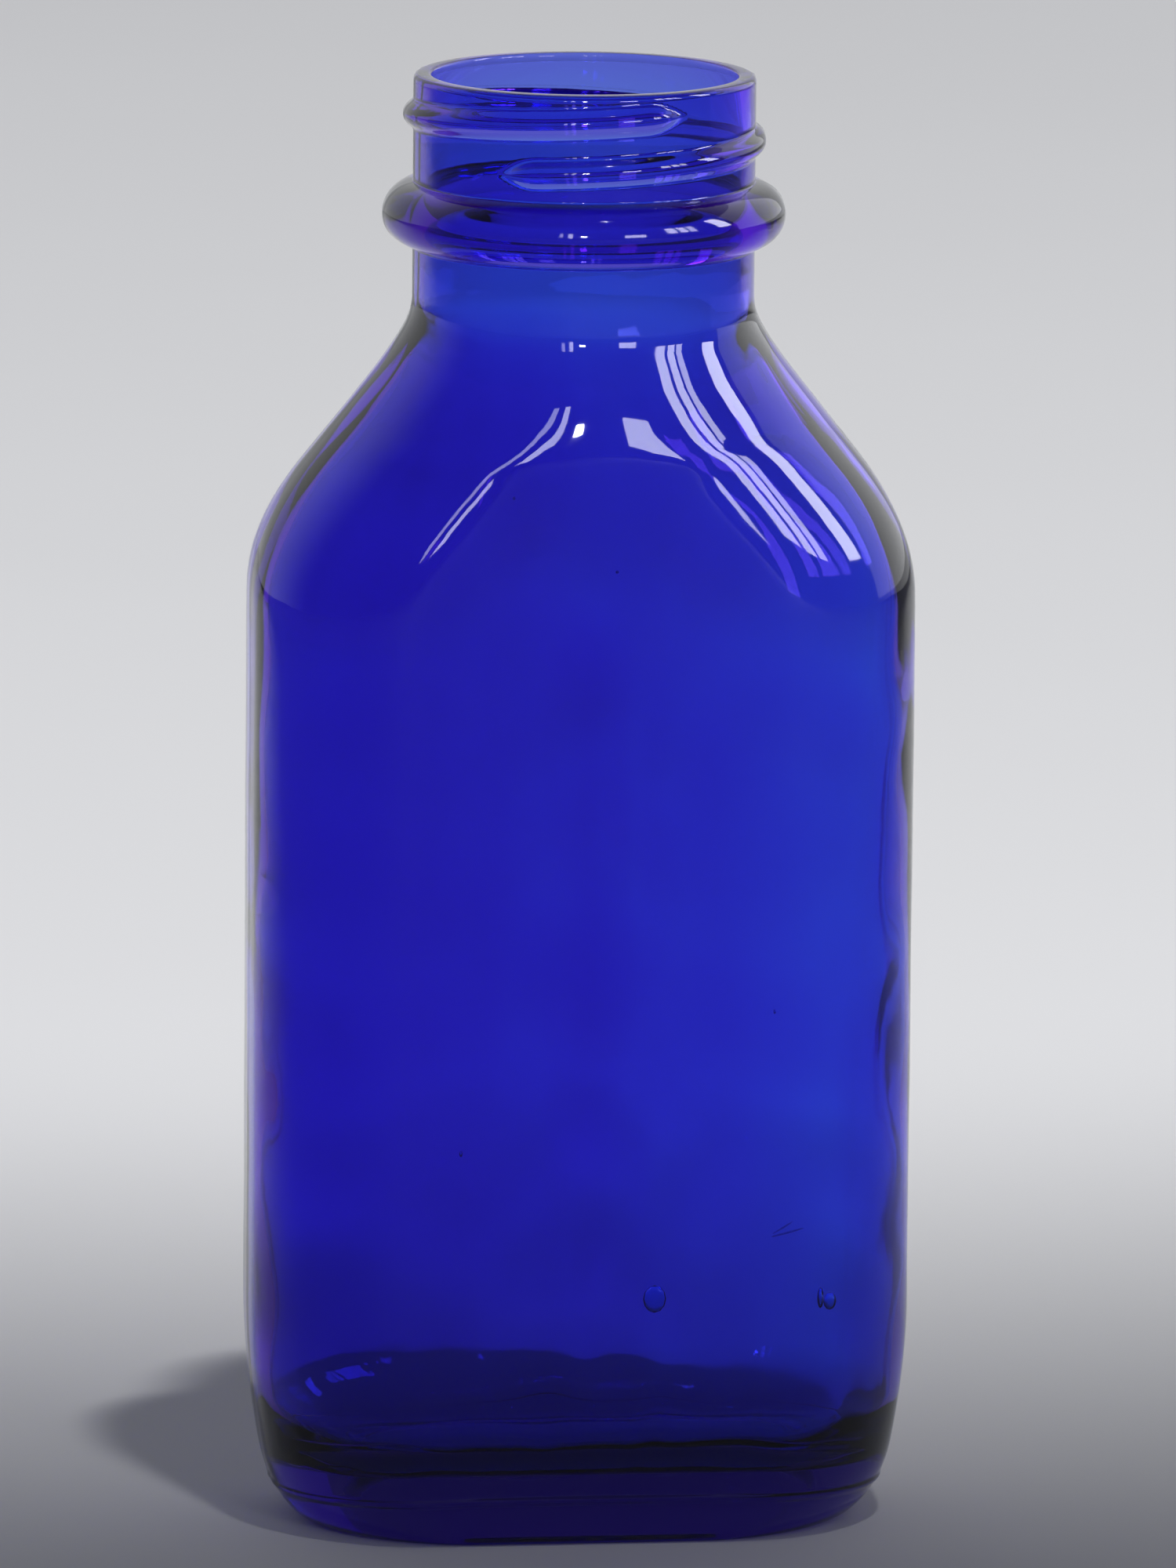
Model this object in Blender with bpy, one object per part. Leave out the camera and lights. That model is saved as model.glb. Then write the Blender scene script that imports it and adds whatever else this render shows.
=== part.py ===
"""Rectangular cobalt-glass apothecary bottle with a screw-thread neck.

The bottle is one piece of machine-made glass, so it is one solid: a rounded-rectangle body
that closes in like a roof with rounded edges, a round neck that flares down into it, a cap
bead, one screw thread and a flat lip.
Units are metres. +Z is up, +X is the wide way and -Y is the front panel. The origin is the
centre of the base, on the surface that the bottle stands on.
"""

import math

import bmesh
import bpy

# Body
TOTAL_HEIGHT = 0.1778
BODY_WIDTH = 0.0810
BODY_DEPTH = 0.0460
CORNER_RADIUS = 0.0170
FRONT_BOW = 0.0006
SIDE_BOW = 0.0018
WALL = 0.0030

# Shoulder: each slope, flare and fade is a change of half size for each metre down, each
# rounding is a radius, and each join is how far apart two faces start to blend
NECK_LENGTH = 0.0300
NECK_FLARE = 0.338
NECK_PROUD = 0.0024
NECK_FADE = 0.112
NECK_JOIN = 0.0027
FLARE_TURN = 0.0021
UPRIGHT_JOIN = 0.0004
SIDE_SLOPE = 0.7905
SIDE_ROUNDING = 0.0207
WING_DEPTH = 0.0175
WING_SLOPE = 0.407
WING_ROUNDING = 0.0062
WING_JOIN = 0.0020
SHOULDER_CORNER = 0.0241
CORNER_JOIN = 0.0167
SHOULDER_EASE = 0.0073
BODY_EASE = 0.0396

# Foot: the seam's place is a share of the heel's height
TAPER_HEIGHT = 0.0280
SIDE_TAPER = 0.0037
FRONT_TAPER = 0.0032
HEEL_HEIGHT = 0.0095
HEEL_SIDE_DEPTH = 0.0045
HEEL_FRONT_DEPTH = 0.0016
SEAM_SHARE = 0.62
SEAM_WIDTH = 0.0010
SEAM_PROUD = 0.00025
BEARING_WIDTH = 0.0035
PUSH_UP_HEIGHT = 0.0015
PUSH_UP_RUN = 0.0040
FLOOR_THICKNESS = 0.0082
FLOOR_ROUNDING = 0.0085

# Finish: the moulded top that takes a screw cap
NECK_DIAMETER = 0.0416
BORE_DIAMETER = 0.0370
LIP_OUTER_EDGE = 0.0007
LIP_INNER_EDGE = 0.0004
BEAD_DIAMETER = 0.0490
BEAD_DROP = 0.0169
BEAD_HALF_HEIGHT = 0.0039
BEAD_FILLET = 0.0008
THREAD_DIAMETER = 0.0441
THREAD_WIDTH = 0.0034
THREAD_PITCH = 0.0060
THREAD_DROP = 0.0028
THREAD_SWEEP = math.radians(422)
THREAD_END_ANGLE = math.radians(297)
THREAD_TAPER = math.radians(12)
THREAD_ROOT = 0.0004

# Fineness of the mesh
QUARTER_STEPS = 18
HEEL_RINGS = 5
UPPER_HEEL_RINGS = 2
TAPER_RINGS = 4
SHOULDER_RINGS = 20
INNER_SHOULDER_RINGS = 10
BEAD_RINGS = 8
EDGE_RINGS = 2
FLOOR_RINGS = 5
THREAD_STEP = math.radians(6)
THREAD_ARC_POINTS = 7
TIE = 1e-8

COBALT = (0.010, 0.016, 0.30, 1.0)
GLASS_ROUGHNESS = 0.03
GLASS_IOR = 1.52

NECK_RADIUS = NECK_DIAMETER / 2
BORE_RADIUS = BORE_DIAMETER / 2
SHOULDER_TOP = TOTAL_HEIGHT - NECK_LENGTH
BEAD_Z = TOTAL_HEIGHT - BEAD_DROP


def clear_scene():
    for obj in list(bpy.data.objects):
        bpy.data.objects.remove(obj, do_unlink=True)


def new_collection(name):
    collection = bpy.data.collections.new(name)
    bpy.context.scene.collection.children.link(collection)
    return collection


def smooth_min(a, b, reach):
    """The smaller of two radii, rounded where they are closer than the reach."""
    overlap = max(reach - abs(a - b), 0.0) / reach
    return min(a, b) - overlap * overlap * reach / 4


def smooth_max(a, b, reach):
    return -smooth_min(-a, -b, reach)


def section_radius(angle, half_x, half_y, corner_x, corner_y):
    """Radius of a rounded rectangle at an angle. Its corners may be wider than deep.

    The faces bow out by FRONT_BOW and SIDE_BOW between the corners. The outline is found
    by halving, because a bowed rounded rectangle has no short formula in polar form.
    """
    low, high = 0.0, BODY_WIDTH + BODY_DEPTH
    for _ in range(40):
        middle = (low + high) / 2
        x = abs(math.cos(angle)) * middle
        y = abs(math.sin(angle)) * middle
        dx = x + SIDE_BOW * (y / half_y) ** 2 - (half_x - corner_x)
        dy = y + FRONT_BOW * (x / half_x) ** 2 - (half_y - corner_y)
        if math.hypot(max(dx, 0.0) / corner_x, max(dy, 0.0) / corner_y) > 1:
            high = middle
        else:
            low = middle
    return low


def ring_angles():
    """Angles for every ring, closer together at the body's corners than on its faces.

    The spacing shares out the angle round the axis, counted twice, and the turn of the
    body's outline, counted once.
    """
    fine = 720
    quarter = [math.pi / 2 * k / fine for k in range(fine + 1)]
    points = []
    for angle in quarter:
        half_x, half_y = BODY_WIDTH / 2, BODY_DEPTH / 2
        radius = section_radius(angle, half_x, half_y, CORNER_RADIUS, CORNER_RADIUS)
        points.append((radius * math.cos(angle), radius * math.sin(angle)))
    heading = [math.pi / 2]
    for (x0, y0), (x1, y1) in zip(points, points[1:]):
        heading.append(math.atan2(y1 - y0, x1 - x0))
    heading[-1] = math.pi
    measure = [2 * a + h - math.pi / 2 for a, h in zip(quarter, heading)]
    angles = [0.0]
    k = 0
    for step in range(1, QUARTER_STEPS):
        target = measure[-1] * step / QUARTER_STEPS
        while measure[k + 1] < target:
            k += 1
        share = (target - measure[k]) / (measure[k + 1] - measure[k])
        angles.append(quarter[k] + share * (quarter[k + 1] - quarter[k]))
    angles.append(math.pi / 2)
    first_half = angles + [math.pi - a for a in reversed(angles[:-1])]
    return first_half[:-1] + [math.pi + a for a in first_half[:-1]]


ANGLES = ring_angles()


def heel_share(z):
    """How much of the heel's depth is taken off at a height: all at the base, then less."""
    below = max(1 - z / HEEL_HEIGHT, 0.0)
    return 1 - math.sqrt(1 - below * below)


class Skin:
    """One face of the glass wall: the outside, or the inside at a distance inward."""

    def __init__(self, inward, neck_radius):
        self.inward = inward
        self.neck_radius = neck_radius

    def sloping(self, top, down, slope):
        """A slope that is at top at the shoulder's upper end, moved in by the wall."""
        return top + down * slope - self.inward * math.hypot(1.0, slope)

    def roof(self, body, top, down, slope, rounding):
        """Half of a width: the body's own, or the roof's where that is smaller."""
        narrowed = smooth_min(body, self.sloping(top, down, slope), rounding * slope**2 / 2)
        return max(narrowed, WALL)

    def half_sizes(self, z, inset):
        """Half of the width and of the depth, with the taper, the heel and an inset."""
        taper = max(1 - z / TAPER_HEIGHT, 0.0) ** 2
        heel = 0.0 if self.inward else heel_share(z)
        moved = self.inward + inset
        body_x = BODY_WIDTH / 2 - moved - SIDE_TAPER * taper - HEEL_SIDE_DEPTH * heel
        body_y = BODY_DEPTH / 2 - moved - FRONT_TAPER * taper - HEEL_FRONT_DEPTH * heel
        down = SHOULDER_TOP - z
        half_x = self.roof(body_x, NECK_RADIUS, down, SIDE_SLOPE, SIDE_ROUNDING)
        half_y = self.roof(body_y, WING_DEPTH, down, WING_SLOPE, WING_ROUNDING)
        return half_x, half_y

    def corners(self, z, half_x, half_y, inset):
        """The corner's width and depth. It grows from the body's to the shoulder's."""
        below = SHOULDER_TOP - z
        share = min(max((BODY_EASE - below) / (BODY_EASE - SHOULDER_EASE), 0.0), 1.0)
        grown = share * share * (3 - 2 * share)
        radius = CORNER_RADIUS + (SHOULDER_CORNER - CORNER_RADIUS) * grown
        corner = max(radius - self.inward - inset, WALL / 2)
        corner_y = smooth_min(corner, half_y, WING_JOIN)
        return smooth_min(corner_y, half_x, CORNER_JOIN), corner_y

    def neck(self, z):
        """The round neck, flaring out below and then fading behind the front panel."""
        down = SHOULDER_TOP - z
        flare = self.sloping(NECK_RADIUS, down, NECK_FLARE)
        fading = BODY_DEPTH / 2 + NECK_PROUD - self.inward - down * NECK_FADE
        upright = self.neck_radius - NECK_FADE * max(down, 0.0)
        return smooth_max(smooth_min(flare, fading, FLARE_TURN), upright, UPRIGHT_JOIN)

    def ring(self, z, inset=0.0, level=None):
        """A ring of points at a height, moved in by inset, and drawn at another level."""
        height = z if level is None else level
        half_x, half_y = self.half_sizes(z, inset)
        corner_x, corner_y = self.corners(z, half_x, half_y, inset)
        neck = self.neck(z)
        points = []
        for angle in ANGLES:
            faces = section_radius(angle, half_x, half_y, corner_x, corner_y)
            r = smooth_max(faces, neck, NECK_JOIN)
            points.append((r * math.cos(angle), r * math.sin(angle), height))
        return points

    def shoulder_foot(self):
        """The height where the body starts to close in, or its corners start to grow."""
        body_x = BODY_WIDTH / 2 - self.inward
        reach = SIDE_ROUNDING * SIDE_SLOPE**2 / 2
        start = (body_x + reach - self.sloping(NECK_RADIUS, 0.0, SIDE_SLOPE)) / SIDE_SLOPE
        lowest = TAPER_HEIGHT + WALL
        return max(SHOULDER_TOP - max(start, BODY_EASE), lowest)


def round_ring(radius, z):
    return [(radius * math.cos(angle), radius * math.sin(angle), z) for angle in ANGLES]


def eased_heights(low, high, count):
    """Heights from low to high that lie closer together towards the top."""
    return [low + (high - low) * (1 - (1 - k / count) ** 1.35) for k in range(count + 1)]


def quarter_turn_heights(low, high, count):
    """Heights on the heel's curve from low to high, at equal turns of the curve."""
    first = math.acos(1 - low / HEEL_HEIGHT)
    last = math.acos(1 - high / HEEL_HEIGHT)
    turns = [first + (last - first) * k / count for k in range(count + 1)]
    return [HEEL_HEIGHT * (1 - math.cos(turn)) for turn in turns]


def foot_rings(skin):
    """The underside: push-up, flat bearing ring, heel, parting seam and tapered foot."""
    rings = [
        skin.ring(0.0, BEARING_WIDTH + PUSH_UP_RUN, PUSH_UP_HEIGHT),
        skin.ring(0.0, BEARING_WIDTH + PUSH_UP_RUN / 2, PUSH_UP_HEIGHT / 2),
        skin.ring(0.0, BEARING_WIDTH),
    ]
    seam = HEEL_HEIGHT * SEAM_SHARE
    below, above = seam - SEAM_WIDTH / 2, seam + SEAM_WIDTH / 2
    rings += [skin.ring(z) for z in quarter_turn_heights(0.0, below, HEEL_RINGS)]
    rings.append(skin.ring(seam, -SEAM_PROUD))
    rings += [skin.ring(z) for z in quarter_turn_heights(above, HEEL_HEIGHT, UPPER_HEEL_RINGS)]
    for k in range(1, TAPER_RINGS + 1):
        rings.append(skin.ring(HEEL_HEIGHT + (TAPER_HEIGHT - HEEL_HEIGHT) * k / TAPER_RINGS))
    return rings


def shoulder_rings(skin, count):
    """From the foot of the shoulder to where the neck stands upright."""
    top = SHOULDER_TOP + NECK_JOIN / SIDE_SLOPE
    return [skin.ring(z) for z in eased_heights(skin.shoulder_foot(), top, count)]


def finish_rings():
    """The bead and the lip, both round, from the neck up."""
    rings = [round_ring(NECK_RADIUS, BEAD_Z - BEAD_HALF_HEIGHT - BEAD_FILLET)]
    proud = BEAD_DIAMETER / 2 - NECK_RADIUS
    for k in range(BEAD_RINGS + 1):
        turn = math.pi * ((k + 0.5) / (BEAD_RINGS + 1) - 0.5)
        z = BEAD_Z + BEAD_HALF_HEIGHT * math.sin(turn)
        rings.append(round_ring(NECK_RADIUS + proud * math.cos(turn), z))
    rings.append(round_ring(NECK_RADIUS, BEAD_Z + BEAD_HALF_HEIGHT + BEAD_FILLET))
    for k in range(EDGE_RINGS + 1):
        turn = math.pi / 2 * k / EDGE_RINGS
        r = NECK_RADIUS - LIP_OUTER_EDGE * (1 - math.cos(turn))
        rings.append(round_ring(r, TOTAL_HEIGHT - LIP_OUTER_EDGE * (1 - math.sin(turn))))
    for k in range(EDGE_RINGS + 1):
        turn = math.pi / 2 * (1 - k / EDGE_RINGS)
        r = BORE_RADIUS + LIP_INNER_EDGE * (1 - math.cos(turn))
        rings.append(round_ring(r, TOTAL_HEIGHT - LIP_INNER_EDGE * (1 - math.sin(turn))))
    return rings


def cavity_rings(skin):
    """The inside, from the bore down to the floor."""
    rings = list(reversed(shoulder_rings(skin, INNER_SHOULDER_RINGS)))
    rings.append(skin.ring(TAPER_HEIGHT))
    for k in range(FLOOR_RINGS + 1):
        turn = math.pi / 2 * k / FLOOR_RINGS
        z = FLOOR_THICKNESS + FLOOR_ROUNDING * (1 - math.sin(turn))
        rings.append(skin.ring(z, FLOOR_ROUNDING * (1 - math.cos(turn))))
    return rings


def add_strip(bm, lower, upper):
    """Joins two closed loops of the same length with a band of triangles.

    Each pair of triangles meets on the diagonal that lies farther out, so a crease in the
    shoulder is followed and both halves of the bottle match.
    """
    count = len(lower)
    for j in range(count):
        after = (j + 1) % count
        a, b, c, d = lower[j], lower[after], upper[after], upper[j]
        rising = ((a.co + c.co) / 2).xy.length
        falling = ((b.co + d.co) / 2).xy.length
        same = abs(rising - falling) < TIE
        left_over_right = j % (count // 2) < count // 4
        if left_over_right if same else rising > falling:
            bm.faces.new((a, b, c))
            bm.faces.new((a, c, d))
        else:
            bm.faces.new((a, b, d))
            bm.faces.new((b, c, d))


def add_cap(bm, loop, centre, faces_down):
    middle = bm.verts.new(centre)
    count = len(loop)
    for j in range(count):
        first, second = loop[j], loop[(j + 1) % count]
        bm.faces.new((middle, second, first) if faces_down else (middle, first, second))


def glass_mesh():
    """The glass wall as one loft, from under the base, over the lip and down the inside."""
    outside = Skin(0.0, NECK_RADIUS)
    inside = Skin(WALL, BORE_RADIUS)
    rings = foot_rings(outside)
    rings += shoulder_rings(outside, SHOULDER_RINGS)
    rings += finish_rings()
    rings += cavity_rings(inside)
    bm = bmesh.new()
    loops = [[bm.verts.new(point) for point in ring] for ring in rings]
    for lower, upper in zip(loops, loops[1:]):
        add_strip(bm, lower, upper)
    add_cap(bm, loops[0], (0.0, 0.0, PUSH_UP_HEIGHT), True)
    add_cap(bm, loops[-1], (0.0, 0.0, FLOOR_THICKNESS), False)
    mesh = bpy.data.meshes.new("glass_bottle")
    bm.to_mesh(mesh)
    bm.free()
    return mesh


def thread_section(turned):
    """One cross-section of the thread, turned so far along from its lower end.

    It is the cap of a circle as wide as the thread, standing on a root inside the neck. At
    both ends of the sweep it shrinks towards the neck's surface.
    """
    from_end = min(turned, THREAD_SWEEP - turned)
    grown = math.sin(math.pi / 2 * min(from_end / THREAD_TAPER, 1.0)) * 0.96 + 0.04
    angle = THREAD_END_ANGLE - THREAD_SWEEP + turned
    z = TOTAL_HEIGHT - THREAD_DROP - (THREAD_SWEEP - turned) / math.tau * THREAD_PITCH
    half_width = THREAD_WIDTH / 2 * grown
    proud = (THREAD_DIAMETER / 2 - NECK_RADIUS) * grown
    points = [(NECK_RADIUS - THREAD_ROOT, half_width), (NECK_RADIUS - THREAD_ROOT, -half_width)]
    for k in range(THREAD_ARC_POINTS):
        side = 2 * k / (THREAD_ARC_POINTS - 1) - 1
        points.append((NECK_RADIUS + proud * (1 - side * side), half_width * side))
    return [(r * math.cos(angle), r * math.sin(angle), z + up) for r, up in points]


def thread_mesh():
    """The thread's helical ridge as a closed solid that reaches into the neck's wall."""
    steps = round(THREAD_SWEEP / THREAD_STEP)
    bm = bmesh.new()
    loops = []
    for k in range(steps + 1):
        section = thread_section(THREAD_SWEEP * k / steps)
        loops.append([bm.verts.new(point) for point in section])
    for one, other in zip(loops, loops[1:]):
        add_strip(bm, one, other)
    bm.faces.new(loops[0])
    bm.faces.new(loops[-1])
    bmesh.ops.recalc_face_normals(bm, faces=bm.faces[:])
    mesh = bpy.data.meshes.new("thread_ridge")
    bm.to_mesh(mesh)
    bm.free()
    return mesh


def cobalt_glass():
    material = bpy.data.materials.new("cobalt_glass")
    material.use_nodes = True
    shader = material.node_tree.nodes["Principled BSDF"]
    shader.inputs["Base Color"].default_value = COBALT
    shader.inputs["Metallic"].default_value = 0.0
    shader.inputs["Roughness"].default_value = GLASS_ROUGHNESS
    shader.inputs["IOR"].default_value = GLASS_IOR
    shader.inputs["Transmission Weight"].default_value = 1.0
    return material


def build():
    clear_scene()
    parts = new_collection("apothecary_bottle")
    cutters = new_collection("cutters")

    ridge = bpy.data.objects.new("thread_ridge", thread_mesh())
    ridge.hide_render = True
    ridge.display_type = "WIRE"
    cutters.objects.link(ridge)

    bottle = bpy.data.objects.new("glass_bottle", glass_mesh())
    bottle.data.materials.append(cobalt_glass())
    bottle.data.shade_smooth()
    bottle.data.set_sharp_from_angle(angle=math.radians(40))
    parts.objects.link(bottle)

    union = bottle.modifiers.new("thread", "BOOLEAN")
    union.operation = "UNION"
    union.solver = "EXACT"
    union.object = ridge


build()
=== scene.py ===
# %% [markdown]
# # A cobalt-glass apothecary bottle
# This lesson dresses a finished CAD model. The real bottle is one piece of moulded glass: a
# rounded rectangular body, sloping shoulders, a round neck with a screw thread, and a flat lip.
# The CAD part gives the shape and the size. Here it gets a fine surface, real glass, a plain
# studio and a camera. The first step loads the CAD part, which is hidden once the fine
# surface takes its place.

# %% Load the CAD part
import math

import bpy
import numpy as np
from mathutils import Matrix, Vector


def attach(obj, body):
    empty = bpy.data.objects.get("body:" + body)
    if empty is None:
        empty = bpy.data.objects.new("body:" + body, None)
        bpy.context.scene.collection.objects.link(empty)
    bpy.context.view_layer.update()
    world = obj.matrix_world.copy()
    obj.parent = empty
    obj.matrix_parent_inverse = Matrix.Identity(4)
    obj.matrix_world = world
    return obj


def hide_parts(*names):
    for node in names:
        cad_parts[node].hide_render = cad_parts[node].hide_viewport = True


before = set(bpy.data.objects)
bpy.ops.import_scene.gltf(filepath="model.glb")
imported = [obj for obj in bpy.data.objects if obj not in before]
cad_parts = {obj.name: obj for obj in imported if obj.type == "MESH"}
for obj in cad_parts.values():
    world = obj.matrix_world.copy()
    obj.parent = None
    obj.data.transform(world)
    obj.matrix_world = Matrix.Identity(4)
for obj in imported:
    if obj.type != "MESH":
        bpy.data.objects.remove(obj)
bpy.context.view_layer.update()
MM = 0.001


# %% [markdown]
# ## The bottle's sizes
# A moulded bottle is drawn from a few sizes, and these are the same as in the part's source.
# Each face of the body is almost flat and bows out a little. The shoulder has two forms in
# one: the body closes in like a roof with rounded edges, and the neck flares down into it. The
# sizes could be read off the CAD mesh, but with names they show what each of them does.

# %% Sizes of the body, shoulder, foot and finish
TOTAL_HEIGHT = 0.1778
BODY_WIDTH = 0.0810
BODY_DEPTH = 0.0460
CORNER_RADIUS = 0.0170
FRONT_BOW = 0.0006
SIDE_BOW = 0.0018
WALL = 0.0030

NECK_LENGTH = 0.0300
NECK_FLARE = 0.338
NECK_PROUD = 0.0024
NECK_FADE = 0.112
NECK_JOIN = 0.0027
SIDE_SLOPE = 0.7905
SIDE_ROUNDING = 0.0207
WING_DEPTH = 0.0175
WING_SLOPE = 0.407
WING_ROUNDING = 0.0062
SHOULDER_CORNER = 0.0241
CORNER_JOIN = 0.0167
SHOULDER_EASE = 0.0073
BODY_EASE = 0.0396

TAPER_HEIGHT = 0.0280
SIDE_TAPER = 0.0037
FRONT_TAPER = 0.0032
HEEL_HEIGHT = 0.0095
HEEL_SIDE_DEPTH = 0.0045
HEEL_FRONT_DEPTH = 0.0016
BEARING_WIDTH = 0.0035
PUSH_UP_HEIGHT = 0.0015
PUSH_UP_RUN = 0.0040
FLOOR_THICKNESS = 0.0082
FLOOR_ROUNDING = 0.0085

NECK_RADIUS = 0.0208
BORE_RADIUS = 0.0185
LIP_OUTER_EDGE = 0.0007
LIP_INNER_EDGE = 0.0004
BEAD_RADIUS = 0.0245
BEAD_Z = TOTAL_HEIGHT - 0.0169
BEAD_HALF_HEIGHT = 0.0039
SHOULDER_TOP = TOTAL_HEIGHT - NECK_LENGTH


# %% [markdown]
# ## Which way a ring of the body goes
# Every height of the bottle is one closed ring of points. The body's ring is a rectangle with
# bowed faces and round corners, and it has no short formula for "how far out at this angle".
# Halving finds it: guess a distance, see if the point lies outside the outline, and close in.
# NumPy does this for all points at once.

# %% Radius of a ring at an angle
HALVINGS = 34


def section_radius(angle, half_x, half_y, corner_x, corner_y):
    """A rounded rectangle in polar form. Its corners may be wider than deep."""
    along_x, along_y = np.abs(np.cos(angle)), np.abs(np.sin(angle))
    low = np.zeros(np.broadcast(angle, half_x, half_y, corner_x).shape)
    high = low + BODY_WIDTH + BODY_DEPTH
    for _ in range(HALVINGS):
        middle = (low + high) / 2
        x, y = along_x * middle, along_y * middle
        dx = x + SIDE_BOW * (y / half_y) ** 2 - (half_x - corner_x)
        dy = y + FRONT_BOW * (x / half_x) ** 2 - (half_y - corner_y)
        outside = np.hypot(np.maximum(dx, 0) / corner_x, np.maximum(dy, 0) / corner_y) > 1
        high = np.where(outside, middle, high)
        low = np.where(outside, low, middle)
    return low


# %% [markdown]
# Rings need more points where the outline turns fast, at the corners. The angles are spaced by
# a running total: the angle itself, counted twice, plus the turn of the outline.

# %% Angles shared by every ring
COLUMNS = 288
FINE_STEPS = 1441


def ring_angles(columns):
    fine = np.linspace(0, math.pi / 2, FINE_STEPS)
    half_x, half_y = BODY_WIDTH / 2, BODY_DEPTH / 2
    radius = section_radius(fine, half_x, half_y, CORNER_RADIUS, CORNER_RADIUS)
    heading = np.arctan2(np.diff(radius * np.sin(fine)), np.diff(radius * np.cos(fine)))
    turned = np.concatenate([[math.pi / 2], heading])
    turned[-1] = math.pi
    measure = 2 * fine + turned - math.pi / 2
    quarter = np.interp(np.linspace(0, measure[-1], columns // 4 + 1), measure, fine)
    half = np.concatenate([quarter, math.pi - quarter[-2::-1]])[:-1]
    return np.concatenate([half, math.pi + half])


ANGLES = ring_angles(COLUMNS)
print("columns:", len(ANGLES))


# %% [markdown]
# ## Shoulder and neck
# The front panel runs up into the shoulder as a pointed arch, because the rounded edge of the
# body goes on up both slopes. So each ring of the shoulder is still a rounded rectangle that
# gets smaller, and only its corners grow. The round neck flares down into it and fades out on
# the front panel. A smooth minimum and a smooth maximum make these joins, and the farther
# their reach, the larger the rounding.

# %% Smooth joins
def smooth_min(a, b, reach):
    overlap = np.maximum(reach - np.abs(a - b), 0) / reach
    return np.minimum(a, b) - overlap * overlap * reach / 4


def smooth_max(a, b, reach):
    return -smooth_min(-a, -b, reach)


def eased(share):
    share = np.clip(share, 0, 1)
    return share * share * (3 - 2 * share)


# %% [markdown]
# The wall's radius joins three forms: the body, the roof over it and the neck. Solids and
# Booleans could do that too, but then each join would need a rounding of its own. One function
# serves the outer and the inner face. A sloping part of the inner face is moved in farther, so
# that the wall keeps its thickness there.

# %% The wall's radius anywhere below the bead
FLARE_TURN = 0.0021
NECK_BLEND = 0.0004
INNER_NECK_BLEND = 0.0045
WING_JOIN = 0.0020


def roof(body, top, down, slope, rounding, inward):
    """Half of the width or depth: the body's own, or the roof's where that is smaller."""
    sloping = top + down * slope - inward * math.hypot(1, slope)
    return np.maximum(smooth_min(body, sloping, rounding * slope**2 / 2), WALL)


def neck_part(down, inward, neck_radius):
    """The round neck, flaring out below and then fading behind the front panel."""
    flare = NECK_RADIUS + down * NECK_FLARE - inward * math.hypot(1, NECK_FLARE)
    fading = BODY_DEPTH / 2 + NECK_PROUD - inward - down * NECK_FADE
    upright = neck_radius - NECK_FADE * np.maximum(down, 0)
    blend = INNER_NECK_BLEND if inward else NECK_BLEND
    return smooth_max(smooth_min(flare, fading, FLARE_TURN), upright, blend)


def wall_radius(angle, z, inward, inset, neck_radius, neck_join=NECK_JOIN):
    """The wall's radius: the outer face with inward 0, the inner face with inward WALL."""
    taper = np.maximum(1 - z / TAPER_HEIGHT, 0) ** 2
    below = np.maximum(1 - z / HEEL_HEIGHT, 0) * (inward == 0)
    heel = 1 - np.sqrt(1 - below * below)
    body_x = BODY_WIDTH / 2 - inward - inset - SIDE_TAPER * taper - HEEL_SIDE_DEPTH * heel
    body_y = BODY_DEPTH / 2 - inward - inset - FRONT_TAPER * taper - HEEL_FRONT_DEPTH * heel
    down = SHOULDER_TOP - z
    half_x = roof(body_x, NECK_RADIUS, down, SIDE_SLOPE, SIDE_ROUNDING, inward)
    half_y = roof(body_y, WING_DEPTH, down, WING_SLOPE, WING_ROUNDING, inward)
    grown = eased((BODY_EASE - down) / (BODY_EASE - SHOULDER_EASE))
    corner = CORNER_RADIUS + (SHOULDER_CORNER - CORNER_RADIUS) * grown - inward - inset
    corner_y = smooth_min(np.maximum(corner, WALL / 2), half_y, WING_JOIN)
    corner_x = smooth_min(corner_y, half_x, CORNER_JOIN)
    faces = section_radius(angle, half_x, half_y, corner_x, corner_y)
    return smooth_max(faces, neck_part(down, inward, neck_radius), neck_join)


reach = wall_radius(ANGLES, SHOULDER_TOP + 0 * ANGLES, 0.0, 0.0, NECK_RADIUS) / MM
print("radius under the neck, mm:", round(reach.min(), 1), "to", round(reach.max(), 1))


# %% [markdown]
# ## The screw thread
# The thread is one ridge that winds round the neck and ends bluntly. It could be a swept curve
# joined with a Boolean. Here it is a rise in the ring's radius instead, worked out from the
# angle and the height, so the surface stays one clean grid with a smooth foot to the ridge.

# %% Rise of the thread above the neck
THREAD_RISE = 0.00125
THREAD_HALF_WIDTH = 0.0017
THREAD_PITCH = 0.0060
THREAD_DROP = 0.0028
THREAD_SWEEP = math.radians(422)
THREAD_END_ANGLE = math.radians(297)
THREAD_BLUNT = math.radians(12)
THREAD_FOOT = 0.0005
THREAD_TIP = 0.05
THREAD_ROUNDNESS = 2.2


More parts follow.
